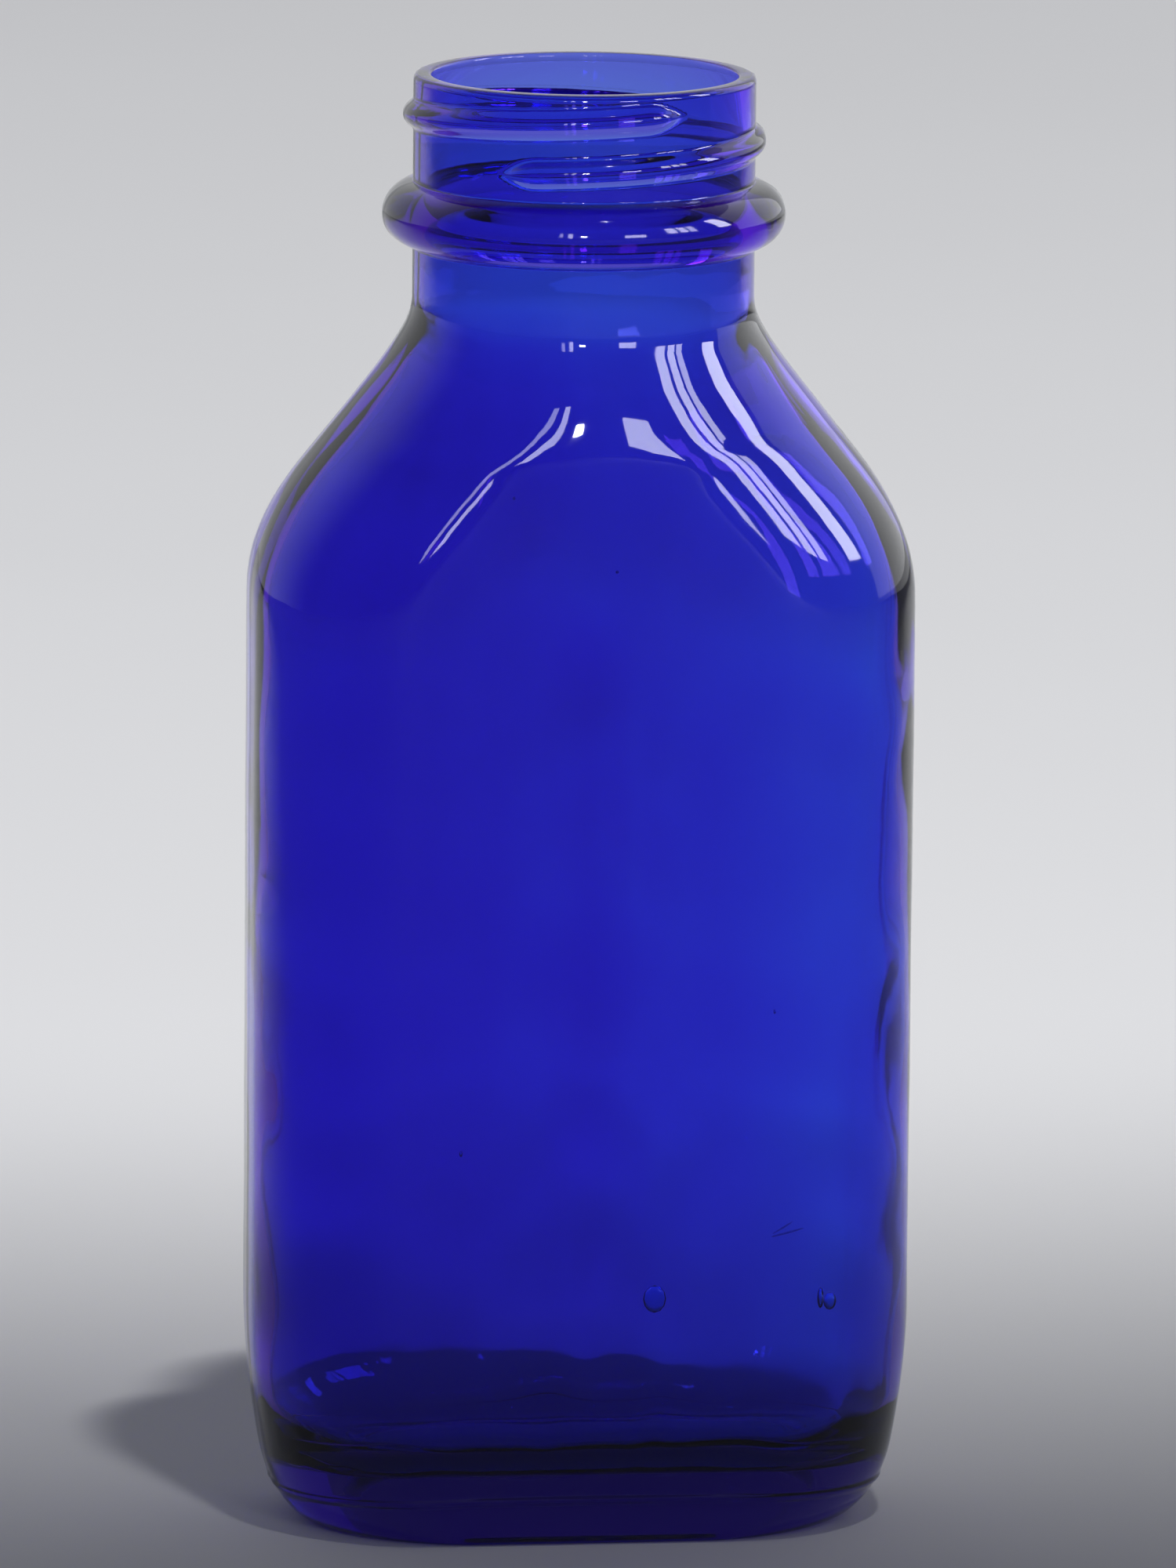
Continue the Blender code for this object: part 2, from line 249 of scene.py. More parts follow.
def thread_rise(angle, z):
    """Height of the ridge over the neck. The thread starts low and climbs with the angle."""
    rise = np.full(np.broadcast(angle, z).shape, -THREAD_FOOT)
    first = (angle - (THREAD_END_ANGLE - THREAD_SWEEP)) % math.tau
    for turned in (first, first + math.tau):
        from_end = np.minimum(turned, THREAD_SWEEP - turned)
        grown = np.sin(math.pi / 2 * np.clip(from_end / THREAD_BLUNT, 0, 1))
        centre = TOTAL_HEIGHT - THREAD_DROP - (THREAD_SWEEP - turned) / math.tau * THREAD_PITCH
        across = np.abs(z - centre) / (THREAD_HALF_WIDTH * np.maximum(grown, THREAD_TIP))
        ridge = THREAD_RISE * grown * (1 - across**THREAD_ROUNDNESS)
        rise = np.maximum(rise, np.where(from_end > 0, ridge, -THREAD_FOOT))
    return smooth_max(rise, 0 * rise, THREAD_FOOT)


print("over the thread, mm:", round(2 * (NECK_RADIUS + THREAD_RISE) / MM, 1))


# %% [markdown]
# ## Ripples and seams
# Moulded glass is never quite even. The inner face, which no mould touches, wanders by a few
# tenths of a millimetre, and that bends what is seen through the wall. The mould's two halves
# leave a fine raised line up each narrow side, and its bottom plate leaves one round the heel.
# These are shapes, so they go into the mesh and not only into the material. A Displace modifier
# with a noise texture could do it. Sums of sine waves are used here, because they are the same
# on every run and their height is known in millimetres.

# %% Ripple of a face, and the two kinds of seam
# Each wave: how many go round the bottle, its length upwards in metres, and its share.
SWELLS = ((2, 0.031, 1.0), (3, 0.019, 0.7), (5, 0.043, 0.6), (9, 0.014, 0.35), (14, 0.024, 0.25))
STREAKS = ((6, 0.26, 1.0), (10, 0.17, 0.9), (17, 0.21, 0.7), (27, 0.12, 0.4))
# Steps of phase that set one face, one wave and its two directions apart, in radians.
SEED_LEAD = 1.7
WAVE_LEAD = 2.1
ROUND_LEAD = 1.3
WANDER = 0.8


def ripple(angle, z, size, seed, waves=SWELLS):
    """An uneven surface with several wave lengths in it, the same on every run."""
    total, shares = 0, 0
    for k, (round_waves, length, share) in enumerate(waves):
        lead = seed * SEED_LEAD + k * WAVE_LEAD
        along = math.tau * z / length + lead + WANDER * np.sin(2 * angle + lead)
        total = total + share * np.sin(round_waves * angle + lead * ROUND_LEAD) * np.sin(along)
        shares += share
    return size * total / shares


SIDE_SEAM_PROUD = 0.00010
SIDE_SEAM_HALF_WIDTH = 0.00045
HEEL_SEAM_PROUD = 0.00025
HEEL_SEAM_HALF_WIDTH = 0.0007
HEEL_SEAM_Z = 0.0060
HEEL_SEAM_DIP = 0.0011


def side_seam(angle, radius):
    """The line left by the two halves of the mould, on the narrow sides."""
    off = np.abs(np.sin(angle)) * radius / SIDE_SEAM_HALF_WIDTH
    return SIDE_SEAM_PROUD * (np.maximum(1 - off * off, 0) - 1)


def heel_seam_z(angle):
    """The bottom plate's seam runs level on the faces and dips round the corners."""
    return HEEL_SEAM_Z - HEEL_SEAM_DIP * np.cos(angle) ** 4


def heel_seam(angle, z):
    off = (z - heel_seam_z(angle)) / HEEL_SEAM_HALF_WIDTH
    return HEEL_SEAM_PROUD * np.maximum(1 - off * off, 0) ** 1.5


# %% [markdown]
# ## The outside
# The rings go from the middle of the underside out to the flat ring that the bottle stands on,
# up the heel and the body, over the bead and the thread, and across the lip. Their heights lie
# close together where the shape turns fast. A Screw modifier could turn a profile for a round
# bottle, but this one is only round at the neck.

# %% Rings of the outside
OUTER_RIPPLE = 0.00005
RIPPLE_FADE = 0.0070
BEAD_JOIN = 0.0006
PUSH_UP_RINGS = 8
HEEL_TURN_TOP = 0.0044
HEEL_TURN_RINGS = 9
# Heights of the rings: from, to, how many.
BODY_HEIGHTS = (
    (0.0046, 0.0068, 12),
    (0.0071, HEEL_HEIGHT, 6),
    (0.0105, TAPER_HEIGHT, 15),
    (0.0305, 0.0945, 19),
    (0.0960, 0.1400, 46),
    (0.1406, 0.1520, 20),
    (0.1526, BEAD_Z - BEAD_HALF_HEIGHT - 0.0004, 5),
)
BEAD_RINGS = 27
FINISH_HEIGHTS = (BEAD_Z + BEAD_HALF_HEIGHT + 0.00025, TOTAL_HEIGHT - 0.0009, 56)
LIP_RINGS = 6


def polar_ring(radius, z):
    """One ring of points from radii and heights, which may be numbers or arrays."""
    radius = radius + 0 * ANGLES
    return np.stack([radius * np.cos(ANGLES), radius * np.sin(ANGLES), z + 0 * ANGLES], axis=1)


def underside_rings():
    rings = []
    foot = wall_radius(ANGLES, 0.0 * ANGLES, 0.0, BEARING_WIDTH + PUSH_UP_RUN, NECK_RADIUS)
    for share in (0.2, 0.4, 0.6, 0.8):
        rings.append(polar_ring(foot * share, PUSH_UP_HEIGHT))
    for k in range(PUSH_UP_RINGS + 1):
        share = k / PUSH_UP_RINGS
        inset = BEARING_WIDTH + PUSH_UP_RUN * (1 - share)
        level = PUSH_UP_HEIGHT * (1 + math.cos(math.pi * share)) / 2
        radius = wall_radius(ANGLES, 0.0 * ANGLES, 0.0, inset, NECK_RADIUS)
        rings.append(polar_ring(radius, level))
    return rings


def outer_radius(z):
    """The outer face at one height, for all angles, with thread, bead and seams."""
    z = z + 0 * ANGLES
    wall = wall_radius(ANGLES, z, 0.0, 0.0, NECK_RADIUS)
    on_body = np.clip((SHOULDER_TOP - z) / RIPPLE_FADE, 0, 1) * np.clip(z / HEEL_HEIGHT, 0, 1)
    wall = wall + (ripple(ANGLES, z, OUTER_RIPPLE, 1) - OUTER_RIPPLE) * on_body
    if z[0] > SHOULDER_TOP:
        up = (z - BEAD_Z) / BEAD_HALF_HEIGHT
        root = NECK_RADIUS - BEAD_JOIN
        bead = root + (BEAD_RADIUS - root) * np.sqrt(np.maximum(1 - up * up, 0))
        wall = smooth_max(wall, bead, BEAD_JOIN)
        wall = np.minimum(wall + thread_rise(ANGLES, z), BEAD_RADIUS)
    wall = wall + heel_seam(ANGLES, z)
    return wall + side_seam(ANGLES, wall)


def quarter_turn(low, high, count):
    turns = np.linspace(0, math.pi / 2, count + 1)
    return low + (high - low) * (1 - np.cos(turns))


def outside_rings():
    heights = list(quarter_turn(0.0, HEEL_TURN_TOP, HEEL_TURN_RINGS))
    for low, high, count in BODY_HEIGHTS:
        heights += list(np.linspace(low, high, count))
    turns = np.linspace(-math.pi / 2, math.pi / 2, BEAD_RINGS)
    heights += list(BEAD_Z + BEAD_HALF_HEIGHT * np.sin(turns))
    heights += list(np.linspace(*FINISH_HEIGHTS))
    rings = [polar_ring(outer_radius(z), z) for z in heights]
    top_radius = outer_radius(TOTAL_HEIGHT - LIP_OUTER_EDGE)
    for turn in np.linspace(0, math.pi / 2, LIP_RINGS):
        r = top_radius - LIP_OUTER_EDGE * (1 - math.cos(turn))
        rings.append(polar_ring(r, TOTAL_HEIGHT - LIP_OUTER_EDGE * (1 - math.sin(turn))))
    return rings


outside = underside_rings() + outside_rings()
print("outside:", len(outside), "rings")


# %% [markdown]
# ## The inside
# The inner face follows the outer one at the wall's thickness, then turns in to a thick floor.
# It is the face that blown glass leaves free, so its ripple is the larger one, with upright
# streaks where the glass ran down. The photo also shows the right side lighter than the left,
# so both broad walls get thinner towards the right, and the hollow lies a little to the right.
# The narrow sides are thinner than the broad walls, which keeps the edges of the body blue.
# Below the lip the bore swells by a fraction of a millimetre, which keeps the neck light. A
# Solidify modifier could give an even wall in one step, but not this uneven one.

# %% Rings of the inside
INNER_RIPPLE = 0.00065
INNER_STREAKS = 0.00042
WEDGE = 0.00180
EXTRA_WALL = 0.00050
HOLLOW_SHIFT = 0.00050
HOLLOW_STRETCH = 0.030
INNER_NECK_JOIN = 0.0030
BORE_SWELL = 0.00060
BORE_SWELL_RUN = 0.0070
FREE_RISE = 0.0040
FREE_RUN = 0.0200
FLOOR_DISH = 0.0003
INNER_LIP_RINGS = 5
FLOOR_TURN_RINGS = 15
# Heights of the rings from the top down: from, to, how many.
INNER_HEIGHTS = (
    (0.1765, 0.1560, 10),
    (0.1545, 0.1385, 18),
    (0.1372, 0.0960, 32),
    (0.0930, 0.0200, 25),
)


def free_share(z):
    """How uneven the wall may be: not at all in the neck, which a tool forms, fully below it."""
    return np.clip((SHOULDER_TOP + FREE_RISE - z) / FREE_RUN, 0, 1)


def inner_radius(z, inset=0.0):
    z = z + 0 * ANGLES
    uneven = ripple(ANGLES, z, INNER_RIPPLE, 2) + ripple(ANGLES, z, INNER_STREAKS, 4, STREAKS)
    bore = BORE_RADIUS + BORE_SWELL * eased((TOTAL_HEIGHT - z) / BORE_SWELL_RUN)
    wall = wall_radius(ANGLES, z, WALL, inset, bore, INNER_NECK_JOIN)
    return wall + (uneven - EXTRA_WALL) * free_share(z)


def inner_ring(radius, z):
    """One ring of the inside, deeper towards the right, where the wall is thinner."""
    ring = polar_ring(radius, z)
    free = free_share(ring[:, 2])
    lean = WEDGE * free * ring[:, 0] / (BODY_WIDTH / 2)
    ring[:, 1] *= 1 + lean / (BODY_DEPTH / 2)
    ring[:, 0] += (HOLLOW_SHIFT + HOLLOW_STRETCH * ring[:, 0]) * free
    return ring


def inside_rings():
    rings = []
    for turn in np.linspace(math.pi / 2, 0, INNER_LIP_RINGS):
        r = BORE_RADIUS + LIP_INNER_EDGE * (1 - math.cos(turn))
        rings.append(polar_ring(r, TOTAL_HEIGHT - LIP_INNER_EDGE * (1 - math.sin(turn))))
    for start, end, count in INNER_HEIGHTS:
        rings += [inner_ring(inner_radius(z), z) for z in np.linspace(start, end, count)]
    for turn in np.linspace(0, math.pi / 2, FLOOR_TURN_RINGS):
        z = FLOOR_THICKNESS + FLOOR_ROUNDING * (1 - math.sin(turn))
        rings.append(inner_ring(inner_radius(z, FLOOR_ROUNDING * (1 - math.cos(turn))), z))
    last = inner_radius(FLOOR_THICKNESS, FLOOR_ROUNDING)
    for share in (0.8, 0.6, 0.4, 0.2):
        rings.append(inner_ring(last * share, FLOOR_THICKNESS + FLOOR_DISH * (1 - share)))
    return rings


inside = inside_rings()
print("inside:", len(inside), "rings")


# %% [markdown]
# ## One closed skin of glass
# Glass in a renderer has to be a closed skin with its faces pointing out of the glass, so that
# light knows when it goes in and when it comes out. The Bridge tool could join the rings two by
# two. A plain list of points and faces does it in one pass, in quads, with a fan of triangles
# to close each end.

# %% Join the rings into the glass
def skin_from_rings(rings):
    count = len(rings[0])
    points = np.concatenate(rings).tolist()
    faces = []
    for k in range(len(rings) - 1):
        low, high = k * count, (k + 1) * count
        for j in range(count):
            after = (j + 1) % count
            faces.append((low + j, low + after, high + after, high + j))
    start, end = len(points), len(points) + 1
    points.append((0.0, 0.0, rings[0][0][2]))
    points.append((0.0, 0.0, rings[-1][0][2]))
    last = (len(rings) - 1) * count
    for j in range(count):
        after = (j + 1) % count
        faces.append((start, after, j))
        faces.append((end, last + j, last + after))
    return points, faces


# %% [markdown]
# ## Seed bubbles
# The photo shows a few small bubbles that were caught in the wall. Some are drawn out upright,
# and two are drawn into fine threads. Each is a small closed skin of its own inside the glass,
# with its faces turned round, because for light the inside of a bubble is outside of the glass.
# Dots painted on the surface would be quicker, but they wouldn't bend what is seen behind them.

# %% Bubbles in the front wall: centre, half sizes, and rise for each step to the right
BUBBLES = (
    ((0.0071, -0.0218, 0.0312), (0.00140, 0.00010, 0.00170), 0.0),
    ((0.0274, -0.0210, 0.0308), (0.00042, 0.00035, 0.00130), 0.0),
    ((0.0286, -0.0207, 0.0303), (0.00085, 0.00020, 0.00110), 0.0),
    ((-0.0166, -0.0216, 0.0495), (0.00020, 0.00020, 0.00035), 0.0),
    ((0.0017, -0.0220, 0.1206), (0.00018, 0.00018, 0.00018), 0.0),
    ((-0.0108, -0.0224, 0.1297), (0.00016, 0.00016, 0.00020), 0.0),
    ((0.0214, -0.0214, 0.0664), (0.00014, 0.00014, 0.00025), 0.0),
    ((0.0232, -0.0222, 0.0392), (0.00200, 0.00011, 0.00011), 0.25),
    ((0.0226, -0.0222, 0.0398), (0.00120, 0.00010, 0.00010), 0.60),
)
BUBBLE_STEPS = 12


def bubble_skin(centre, half_sizes, rise, first):
    """Points and faces of one egg-shaped bubble; the first point gets the number that is given."""
    turns = np.arange(BUBBLE_STEPS) * math.tau / BUBBLE_STEPS
    around = np.stack([np.cos(turns), np.sin(turns), 0 * turns], axis=1)
    levels = np.linspace(-math.pi / 2, math.pi / 2, BUBBLE_STEPS // 2 + 1)[1:-1]
    rings = [around * math.cos(level) + (0, 0, math.sin(level)) for level in levels]
    points = np.concatenate(rings + [[(0, 0, -1), (0, 0, 1)]]) * half_sizes
    points[:, 2] += rise * points[:, 0]
    points += centre
    faces = []
    for j in range(BUBBLE_STEPS):
        after = (j + 1) % BUBBLE_STEPS
        for k in range(len(rings) - 1):
            low, high = k * BUBBLE_STEPS, (k + 1) * BUBBLE_STEPS
            faces.append((low + j, high + j, high + after, low + after))
        top = (len(rings) - 1) * BUBBLE_STEPS
        faces.append((len(points) - 2, j, after))
        faces.append((len(points) - 1, top + after, top + j))
    return points.tolist(), [tuple(first + n for n in face) for face in faces]


# %% [markdown]
# The skin and the bubbles go into one mesh, because they are one body of glass. Smooth shading
# hides the single faces, and no edge of moulded glass has to stay sharp.

# %% The glass as one mesh
def glass_object(rings):
    points, faces = skin_from_rings(rings)
    for centre, half_sizes, rise in BUBBLES:
        more_points, more_faces = bubble_skin(centre, half_sizes, rise, len(points))
        points, faces = points + more_points, faces + more_faces
    mesh = bpy.data.meshes.new("bottle_glass")
    mesh.from_pydata(points, [], faces)
    mesh.shade_smooth()
    made = bpy.data.objects.new("bottle_glass", mesh)
    bpy.context.scene.collection.objects.link(made)
    return made


glass = glass_object(outside + inside)
print("glass skin:", len(glass.data.polygons), "faces, with", len(BUBBLES), "bubbles")


# %% [markdown]
# ## Cobalt glass
# Cobalt glass is blue because it swallows red and green light on the way through, so a thick
# part is darker than a thin one. A blue surface colour alone can't do that. The colour goes
# into a Volume Absorption inside the skin, and a light tint on the surface keeps thin parts
# blue. Fine bumps in the material stand for the ripple that is too small for the mesh.

# %% Material of the glass
GLASS_IOR = 1.52
SURFACE_TINT = (0.17, 0.465, 0.99, 1.0)
ABSORBED_COLOUR = (0.905, 0.575, 0.935, 1.0)
ABSORPTION_DENSITY = 1000.0
SMEAR_SCALE, SMEAR_DETAIL = 90.0, 3.0
SMEAR_RANGE = (0.45, 0.75)
GLASS_ROUGHNESS = (0.02, 0.09)
SWELL_SCALE, SWELL_DETAIL = 140.0, 2.0
BUMP_STRENGTH = 0.35
BUMP_HEIGHT = 0.00008


def link(tree, a, a_socket, b, b_socket):
    """Joins two nodes by the names of their sockets, of those that are in use."""
    start = next(out for out in a.outputs if out.name == a_socket and out.enabled)
    end = next(entry for entry in b.inputs if entry.name == b_socket and entry.enabled)
    tree.links.new(start, end)


def noise(tree, coordinates, scale, detail):
    node = tree.nodes.new("ShaderNodeTexNoise")
    node.inputs["Scale"].default_value = scale
    node.inputs["Detail"].default_value = detail
    tree.links.new(coordinates, node.inputs["Vector"])
    return node


def cobalt_glass():
    material = bpy.data.materials.new("cobalt_glass_moulded")
    material.use_nodes = True
    tree = material.node_tree
    shader = tree.nodes["Principled BSDF"]
    shader.inputs["Base Color"].default_value = SURFACE_TINT
    shader.inputs["IOR"].default_value = GLASS_IOR
    shader.inputs["Transmission Weight"].default_value = 1.0
    place = tree.nodes.new("ShaderNodeTexCoord").outputs["Object"]

    smears = noise(tree, place, SMEAR_SCALE, SMEAR_DETAIL)
    spread = tree.nodes.new("ShaderNodeMapRange")
    low, high = spread.inputs["From Min"], spread.inputs["From Max"]
    low.default_value, high.default_value = SMEAR_RANGE
    low, high = spread.inputs["To Min"], spread.inputs["To Max"]
    low.default_value, high.default_value = GLASS_ROUGHNESS
    link(tree, smears, "Fac", spread, "Value")
    link(tree, spread, "Result", shader, "Roughness")

    swell = noise(tree, place, SWELL_SCALE, SWELL_DETAIL)
    bump = tree.nodes.new("ShaderNodeBump")
    bump.inputs["Strength"].default_value = BUMP_STRENGTH
    bump.inputs["Distance"].default_value = BUMP_HEIGHT
    link(tree, swell, "Fac", bump, "Height")
    link(tree, bump, "Normal", shader, "Normal")

    absorption = tree.nodes.new("ShaderNodeVolumeAbsorption")
    absorption.inputs["Color"].default_value = ABSORBED_COLOUR
    absorption.inputs["Density"].default_value = ABSORPTION_DENSITY
    link(tree, absorption, "Volume", tree.nodes["Material Output"], "Volume")
    return material


glass.data.materials.append(cobalt_glass())
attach(glass, "root")
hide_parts("glass_bottle")
kept = [math.exp(-ABSORPTION_DENSITY * (1 - part) * WALL) for part in ABSORBED_COLOUR[:3]]
print("red, green and blue light left after one wall:", [round(part, 2) for part in kept])


# %% [markdown]
# ## Floor
# The bottle stands on a plain pale floor that goes on behind it as far as the camera sees.
# Where the floor ends, the pale surround goes on in about the same colour. A curved backdrop
# would hide that line in any view, but it would also be mirrored in the bottle. The floor is
# matt painted board, so its colour and roughness wander a little instead of being even.

# %% Pale floor
FLOOR_BACK, FLOOR_FRONT, FLOOR_SIDE = 1.55, -5.0, 5.0
FLOOR_COLOURS = ((0.70, 0.70, 0.71, 1.0), (0.74, 0.74, 0.75, 1.0))
FLOOR_ROUGHNESS = (0.78, 0.92)
FLOOR_SHINE = 0.2
FLOOR_DROP = 0.00005
CLOUD_SCALE, CLOUD_DETAIL = 3.0, 4.0
GRAIN_SCALE, GRAIN_DETAIL = 60.0, 2.0


def pale_floor():
    mesh = bpy.data.meshes.new("floor")
    ends = ((-FLOOR_SIDE, FLOOR_FRONT), (FLOOR_SIDE, FLOOR_FRONT))
    ends += ((FLOOR_SIDE, FLOOR_BACK), (-FLOOR_SIDE, FLOOR_BACK))
    corners = [(x, y, 0) for x, y in ends]
    mesh.from_pydata(corners, [], [(0, 1, 2, 3)])
    floor = bpy.data.objects.new("floor", mesh)
    floor.location.z = -FLOOR_DROP
    material = bpy.data.materials.new("pale_floor")
    material.use_nodes = True
    tree = material.node_tree
    shader = tree.nodes["Principled BSDF"]
    shader.inputs["Specular IOR Level"].default_value = FLOOR_SHINE
    place = tree.nodes.new("ShaderNodeTexCoord").outputs["Object"]
    clouds = noise(tree, place, CLOUD_SCALE, CLOUD_DETAIL)
    mix = tree.nodes.new("ShaderNodeMix")
    mix.data_type = "RGBA"
    mix.inputs["A"].default_value, mix.inputs["B"].default_value = FLOOR_COLOURS
    link(tree, clouds, "Fac", mix, "Factor")
    link(tree, mix, "Result", shader, "Base Color")
    grain = tree.nodes.new("ShaderNodeMapRange")
    grain.inputs["To Min"].default_value, grain.inputs["To Max"].default_value = FLOOR_ROUGHNESS
    link(tree, noise(tree, place, GRAIN_SCALE, GRAIN_DETAIL), "Fac", grain, "Value")
    link(tree, grain, "Result", shader, "Roughness")
    mesh.materials.append(material)
    bpy.context.scene.collection.objects.link(floor)
    return floor


floor = pale_floor()
print("floor, m:", 2 * FLOOR_SIDE, "by", FLOOR_BACK - FLOOR_FRONT)


# %% [markdown]
# ## Light
# Clear glass has no shade of its own. All that it shows is what it mirrors and what lies behind
# it, so the lamps are placed by where their mirror images fall. The streaks on the right
# shoulder are tall windows, and each is given here by the directions it fills as seen from the
# bottle: azimuth from the front towards the right, and height above the horizon. A photographed
# surround could light it too, but its windows would fall where they like.

# %% Windows
SHOULDER_EYE = 0.13
WINDOW_DISTANCE = 2.6


def area_lamp(name, size_x, size_y, radiance, colour):
    """A rectangle that glows evenly. Its power follows from how bright it looks."""
    data = bpy.data.lights.new(name, "AREA")
    data.shape = "RECTANGLE"
    data.size, data.size_y = size_x, size_y
    data.energy = radiance * math.pi * size_x * size_y
    data.color = colour
    lamp = bpy.data.objects.new(name, data)
    lamp.visible_camera = False
    bpy.context.scene.collection.objects.link(lamp)
    return lamp


def window(name, azimuths, heights, radiance, colour):
    middle = math.radians(sum(azimuths) / 2)
    half = math.radians((azimuths[1] - azimuths[0]) / 2)
    low, high = (WINDOW_DISTANCE * math.tan(math.radians(turn)) for turn in heights)
    lamp = area_lamp(name, 2 * WINDOW_DISTANCE * math.tan(half), high - low, radiance, colour)
    x, y = WINDOW_DISTANCE * math.sin(middle), -WINDOW_DISTANCE * math.cos(middle)
    lamp.location = (x, y, SHOULDER_EYE + (low + high) / 2)
    lamp.rotation_euler = Vector((-x, -y, 0)).to_track_quat("-Z", "Y").to_euler()
    return lamp


WINDOW_LIGHT = (0.96, 0.97, 1.0)
# Each window: azimuths, heights above the horizon in degrees, and how bright it looks.
PANES = {
    "front": ((17, 29), (4.5, 14), 9.0),
    "middle_near": ((43, 49), (13, 30), 10.0),
    "middle_far": ((51, 56), (13, 30), 10.0),
    "middle_edge": ((57.5, 62), (13, 30), 8.0),
    "side": ((78, 88), (14, 38), 11.0),
    "right_wall": ((92, 150), (0, 42), 0.7),
    "left_near": ((-15.5, -13), (4, 21), 8.0),
    "left_far": ((-20.5, -18.5), (6, 21), 5.0),
}
for name, (azimuths, heights, radiance) in PANES.items():
    pane = window("window_" + name, azimuths, heights, radiance, WINDOW_LIGHT)
    pane.visible_diffuse = name == "front"
print("windows:", len(PANES))


# %% [markdown]
# A small strong lamp beside the camera gives the white sparks along the middle of the rings. A
# soft lamp high on the right lights the floor that is seen through the glass. Its beam starts
# just behind the bottle, for two reasons: the front panel and the foot mirror the floor in
# front, which would turn them grey, and the bottle's shadow falls on the floor close behind it,
# which gives the dark band that the photo shows through the thick base.

# %% Small lamp and soft lamp
SMALL_PLACE, SMALL_AIM = (-0.19, -1.62, 0.42), (0.0, 0.0, 0.09)
SMALL_SIZE = 0.10
SMALL_RADIANCE = 90.0
WHITE = (1.0, 1.0, 1.0)
KEY_PLACE, KEY_AIM = (0.44, -1.40, 3.90), (0.0, 1.07, 0.0)
KEY_WATTS = 670.0
KEY_BEAM = 2 * math.radians(11.8)
KEY_BLEND = 0.22
KEY_SIZE = 0.15


def aim_lamp(lamp, place, aim):
    lamp.location = place
    lamp.rotation_euler = (Vector(aim) - Vector(place)).to_track_quat("-Z", "Y").to_euler()


def soft_spot(name):
    """A soft lamp with a limited beam, which lights the floor but not what stands in front."""
    data = bpy.data.lights.new(name, "SPOT")
    data.energy = KEY_WATTS
    data.spot_size = KEY_BEAM
    data.spot_blend = KEY_BLEND
    data.shadow_soft_size = KEY_SIZE
    lamp = bpy.data.objects.new(name, data)
    lamp.visible_camera = lamp.visible_glossy = False
    bpy.context.scene.collection.objects.link(lamp)
    return lamp


small = area_lamp("small_lamp", SMALL_SIZE, SMALL_SIZE, SMALL_RADIANCE, WHITE)
aim_lamp(small, SMALL_PLACE, SMALL_AIM)
small.visible_diffuse = False
aim_lamp(soft_spot("key_soft"), KEY_PLACE, KEY_AIM)


# %% [markdown]
# The surround is pale behind the bottle and dim in front, above and to the sides. A white front
# would be mirrored in the front panel and turn the deep blue milky. The floor in front is
# mirrored there too, so the Light Path node shows the full pale colour only to the camera and to
# what is mirrored or seen through glass, and lets less of it light the floor. What is seen
# through the glass is never wholly dim either, which keeps the thread and the lip blue all the
# way round.

# %% Surround
DIM = (0.10, 0.105, 0.12, 1.0)
PALE = (0.66, 0.67, 0.70, 1.0)
PALE_START, PALE_FULL = -0.10, 0.60
PALE_TOP, PALE_END = 0.60, 0.95
PALE_ON_FLOOR = 0.42
PALE_THROUGH_GLASS = 0.5


def smooth_step(tree, source, start, end):
    step = tree.nodes.new("ShaderNodeMapRange")
    step.interpolation_type = "SMOOTHSTEP"
    step.inputs["From Min"].default_value = start
    step.inputs["From Max"].default_value = end
    tree.links.new(source, step.inputs["Value"])
    return step.outputs["Result"]


def combined(tree, operation, a, b):
    node = tree.nodes.new("ShaderNodeMath")
    node.operation = operation
    for socket, value in zip(node.inputs, (a, b)):
        if isinstance(value, float):
            socket.default_value = value
        else:
            tree.links.new(value, socket)
    return node.outputs[0]


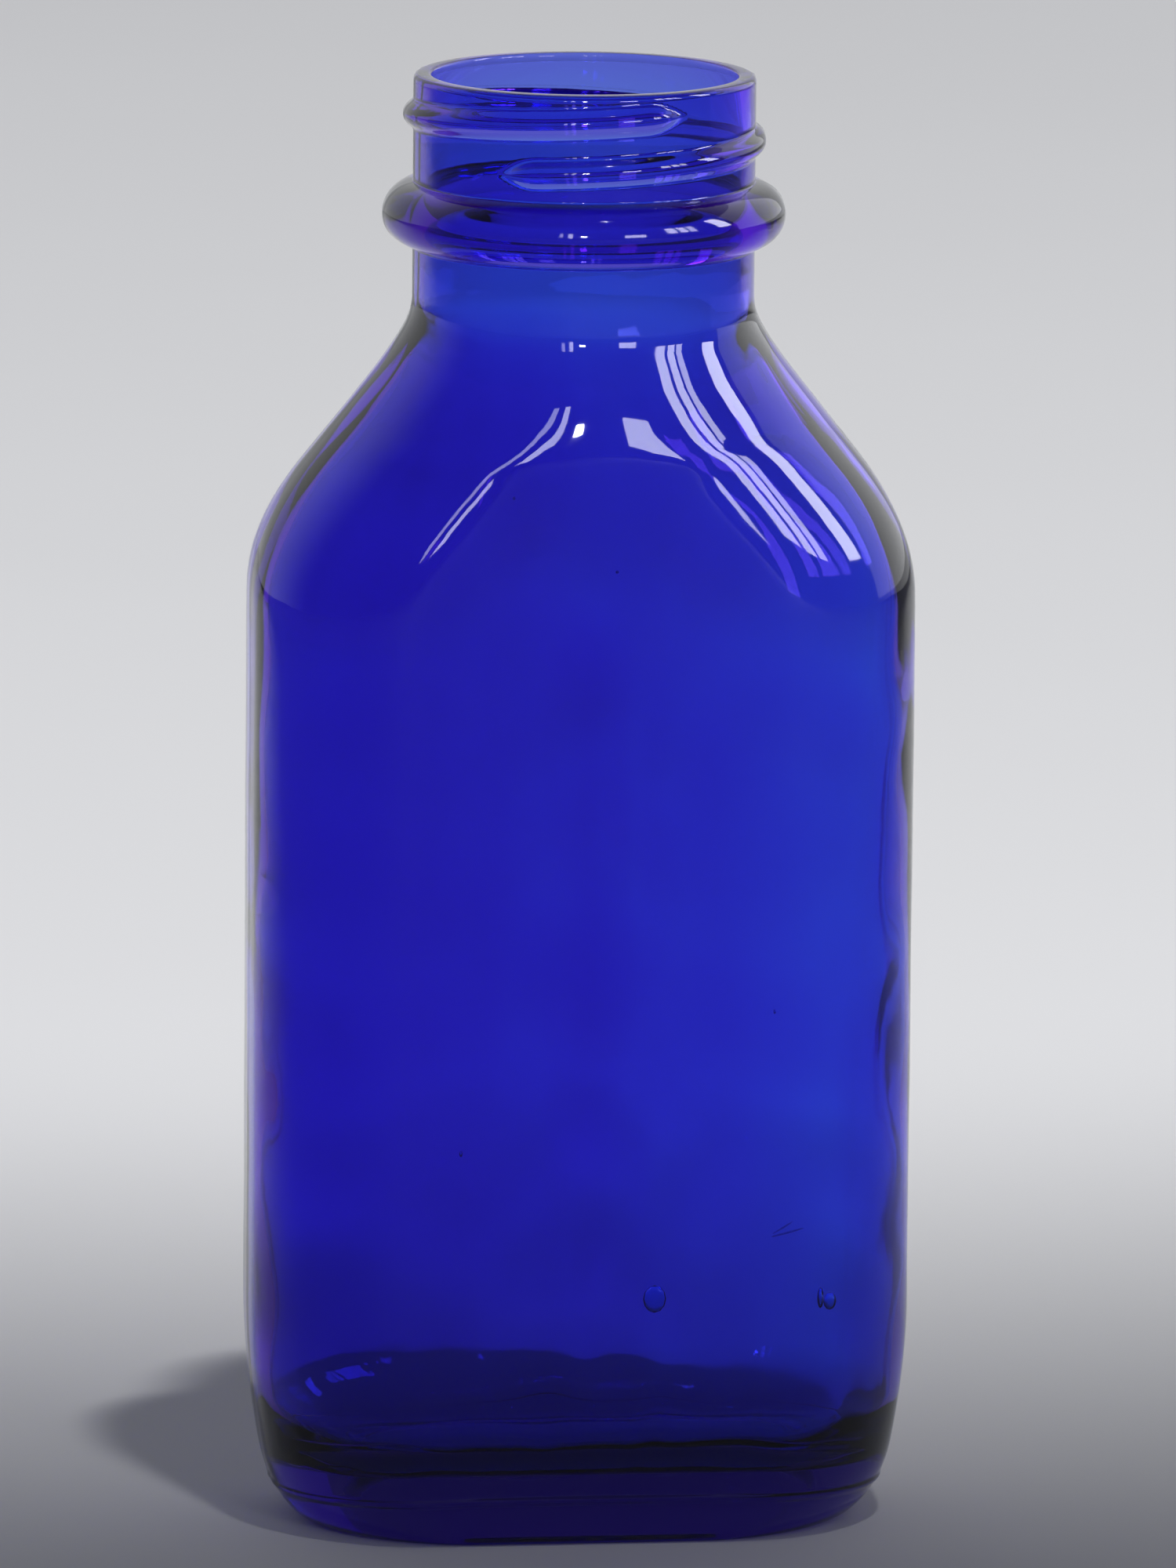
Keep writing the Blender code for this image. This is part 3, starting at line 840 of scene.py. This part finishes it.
def studio_surround():
    world = bpy.data.worlds.new("surround")
    world.use_nodes = True
    tree = world.node_tree
    direction = tree.nodes.new("ShaderNodeSeparateXYZ")
    tree.links.new(tree.nodes.new("ShaderNodeTexCoord").outputs["Generated"], direction.inputs[0])
    behind = smooth_step(tree, direction.outputs["Y"], PALE_START, PALE_FULL)
    low = smooth_step(tree, direction.outputs["Z"], PALE_END, PALE_TOP)
    rays = tree.nodes.new("ShaderNodeLightPath").outputs
    seen = combined(tree, "MAXIMUM", rays["Is Camera Ray"], rays["Is Glossy Ray"])
    seen = combined(tree, "MAXIMUM", seen, rays["Is Transmission Ray"])
    seen = combined(tree, "MAXIMUM", seen, PALE_ON_FLOOR)
    share = combined(tree, "MULTIPLY", combined(tree, "MULTIPLY", behind, low), seen)
    through = combined(tree, "MULTIPLY", rays["Is Transmission Ray"], PALE_THROUGH_GLASS)
    share = combined(tree, "MAXIMUM", share, through)
    mix = tree.nodes.new("ShaderNodeMix")
    mix.data_type = "RGBA"
    mix.inputs["A"].default_value = DIM
    mix.inputs["B"].default_value = PALE
    tree.links.new(share, mix.inputs["Factor"])
    tree.links.new(mix.outputs["Result"], tree.nodes["Background"].inputs["Color"])
    return world


bpy.context.scene.world = studio_surround()


# %% [markdown]
# ## Camera
# The photo was taken from a little above with a long view, and the bottle is turned a few
# degrees. A camera can be placed by eye over the photo. This one's distance, height and turn
# were worked out from the bottle's outline, which is more exact.

# %% Camera
CAMERA_DISTANCE = 1.755
CAMERA_LIFT = math.radians(10.57)
BOTTLE_TURN = math.radians(6.87)
CAMERA_TILT = math.radians(0.495)
LENS = 331.0
SENSOR = 36.0
AIM_RIGHT, AIM_UP = 0.0011, 0.0906


def photo_camera():
    data = bpy.data.cameras.new("camera")
    data.lens = LENS
    data.sensor_width = SENSOR
    camera = bpy.data.objects.new("camera", data)
    lift_cos, lift_sin = math.cos(CAMERA_LIFT), math.sin(CAMERA_LIFT)
    aim = Vector((AIM_RIGHT, 0.0, AIM_UP))
    back = Vector((0.0, -lift_cos, lift_sin))
    right, up = Vector((1.0, 0.0, 0.0)), Vector((0.0, lift_sin, lift_cos))
    tilt_cos, tilt_sin = math.cos(CAMERA_TILT), math.sin(CAMERA_TILT)
    tilted_right = right * tilt_cos + up * tilt_sin
    tilted_up = up * tilt_cos - right * tilt_sin
    place = Matrix((tilted_right, tilted_up, back)).transposed().to_4x4()
    place.translation = aim + back * CAMERA_DISTANCE
    camera.matrix_world = Matrix.Rotation(-BOTTLE_TURN, 4, "Z") @ place
    bpy.context.scene.collection.objects.link(camera)
    bpy.context.scene.camera = camera
    return camera


camera = photo_camera()
bpy.context.scene.view_settings.view_transform = "Standard"
print("camera at, m:", [round(part, 3) for part in camera.matrix_world.translation])
